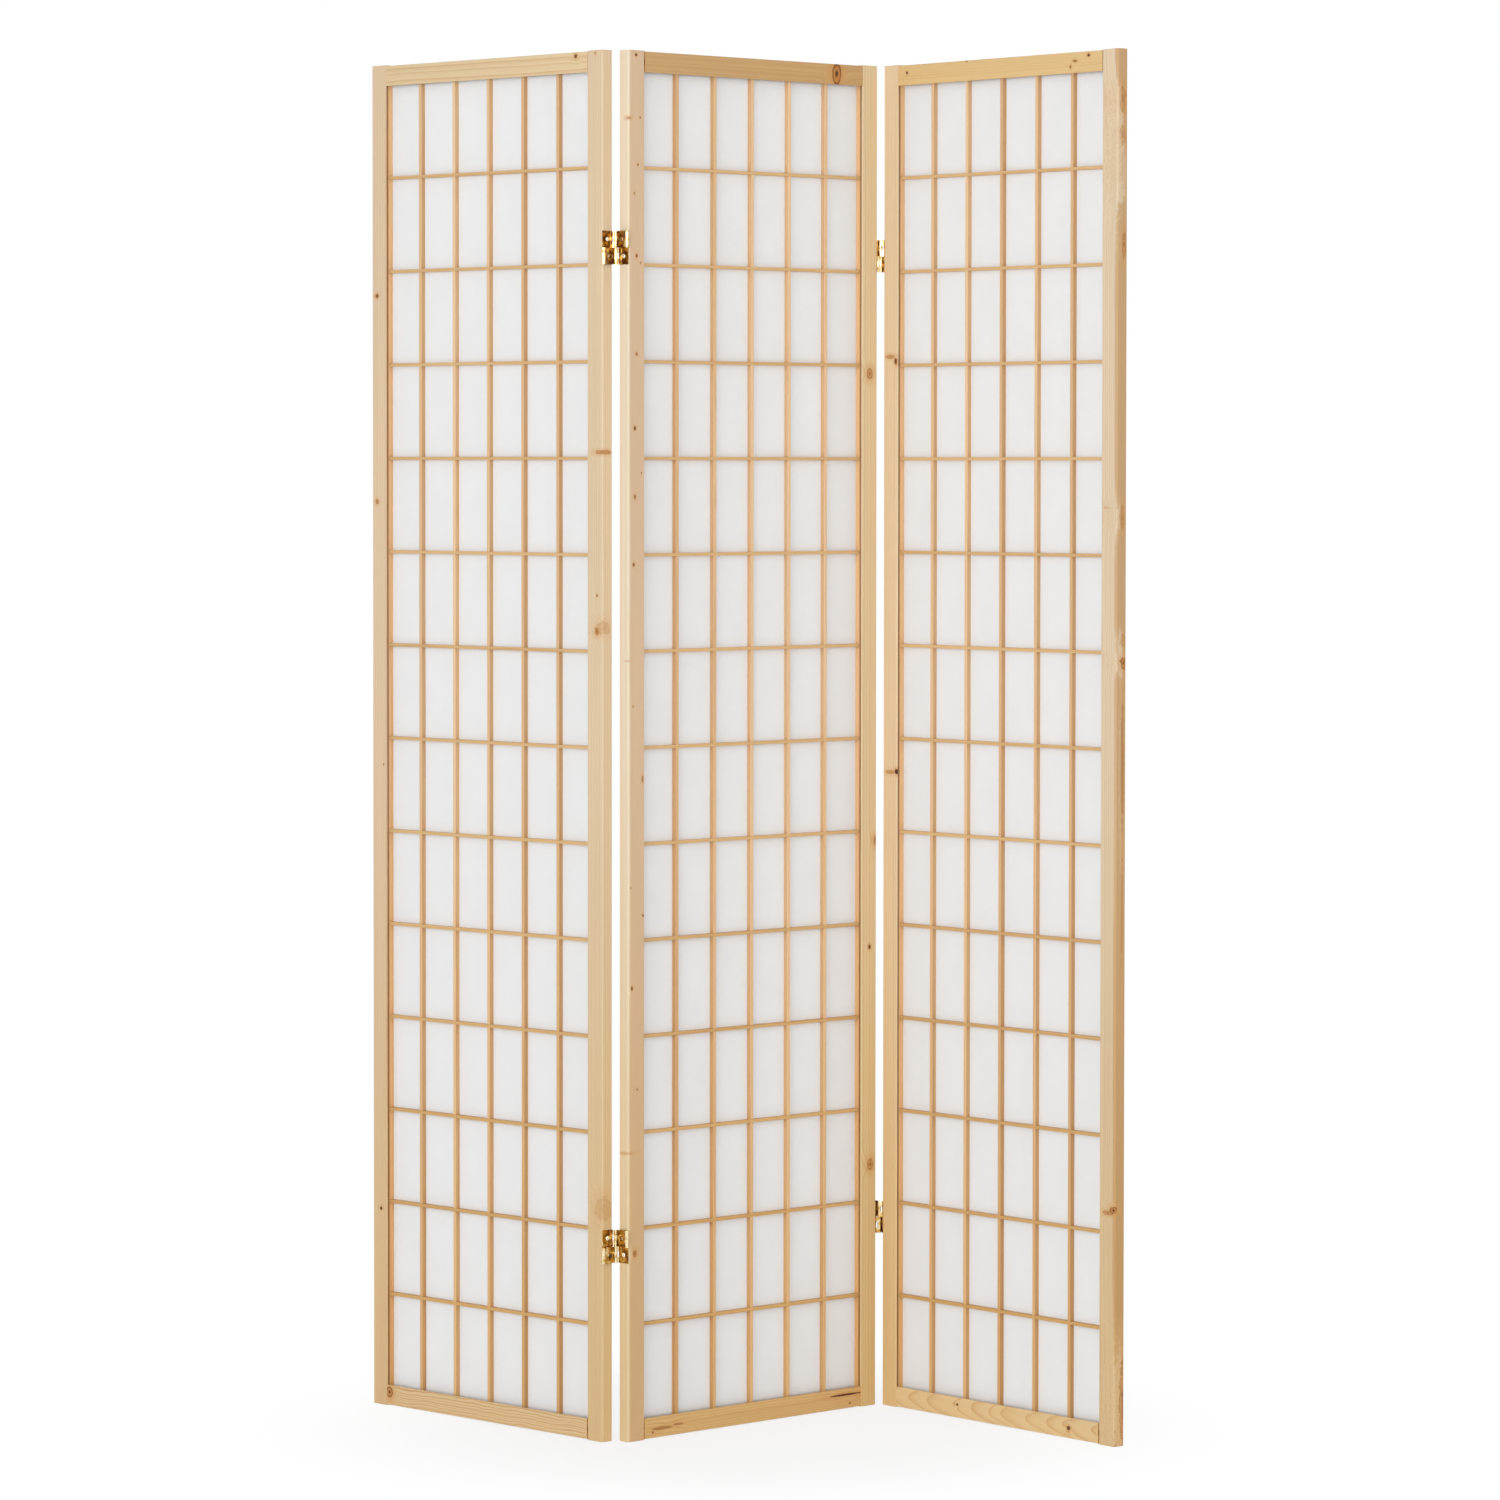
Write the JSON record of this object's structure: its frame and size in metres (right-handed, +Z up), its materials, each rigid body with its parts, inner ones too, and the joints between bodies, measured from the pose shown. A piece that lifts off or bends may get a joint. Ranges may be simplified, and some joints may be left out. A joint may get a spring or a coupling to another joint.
{
  "type": "folding screen",
  "caption": "Free-standing shoji room divider: hinged wood-framed lattice panels backed with paper, folding in a zigzag on crossed-link hinges.",
  "frame": {"origin": "centre of the bounding box's footprint, on the floor", "axes": "+X along the screen from the left panel to the right one, +Y from the front to the back, +Z up"},
  "size_m": [0.9626, 0.3562, 1.75],
  "materials": {
    "frame_wood": "planed pale softwood with a thin satin lacquer",
    "lattice_wood": "planed pale softwood, slightly warmer than the frame",
    "paper": "matt translucent white",
    "hinge_brass": "polished brass plate",
    "hinge_pins": "drawn brass wire"
  },
  "bodies": {
    "middle_panel": {"left_hinge_lower_leaf_far": "hinge_brass", "left_hinge_lower_link_a": "hinge_brass", "left_hinge_upper_leaf_far": "hinge_brass", "left_hinge_upper_link_a": "hinge_brass", "middle_hinge_pins": "hinge_pins", "middle_lattice_bars": "lattice_wood", "middle_lattice_borders": "lattice_wood", "middle_lattice_slats": "lattice_wood", "middle_paper": "paper", "middle_rail_bottom": "frame_wood", "middle_rail_top": "frame_wood", "middle_stile_left": "frame_wood", "middle_stile_right": "frame_wood", "right_hinge_lower_leaf_near": "hinge_brass", "right_hinge_lower_link_a": "hinge_brass", "right_hinge_upper_leaf_near": "hinge_brass", "right_hinge_upper_link_a": "hinge_brass"},
    "left_panel": {"left_hinge_lower_leaf_near": "hinge_brass", "left_hinge_lower_link_b": "hinge_brass", "left_hinge_pins": "hinge_pins", "left_hinge_upper_leaf_near": "hinge_brass", "left_hinge_upper_link_b": "hinge_brass", "left_lattice_bars": "lattice_wood", "left_lattice_borders": "lattice_wood", "left_lattice_slats": "lattice_wood", "left_paper": "paper", "left_rail_bottom": "frame_wood", "left_rail_top": "frame_wood", "left_stile_left": "frame_wood", "left_stile_right": "frame_wood"},
    "right_panel": {"right_hinge_lower_leaf_far": "hinge_brass", "right_hinge_lower_link_b": "hinge_brass", "right_hinge_pins": "hinge_pins", "right_hinge_upper_leaf_far": "hinge_brass", "right_hinge_upper_link_b": "hinge_brass", "right_lattice_bars": "lattice_wood", "right_lattice_borders": "lattice_wood", "right_lattice_slats": "lattice_wood", "right_paper": "paper", "right_rail_bottom": "frame_wood", "right_rail_top": "frame_wood", "right_stile_left": "frame_wood", "right_stile_right": "frame_wood"}
  },
  "joints": [
    {"name": "left_fold", "type": "hinge", "parent": "middle_panel", "child": "left_panel", "pos_m": [-0.15696, -0.13581, 0.875], "axis": [0, 0, 1], "range_deg": [-90.85, 89.15]},
    {"name": "right_fold", "type": "hinge", "parent": "middle_panel", "child": "right_panel", "pos_m": [0.18111, 0.15889, 0.875], "axis": [0, 0, 1], "range_deg": [-86.45, 93.55]}
  ]
}
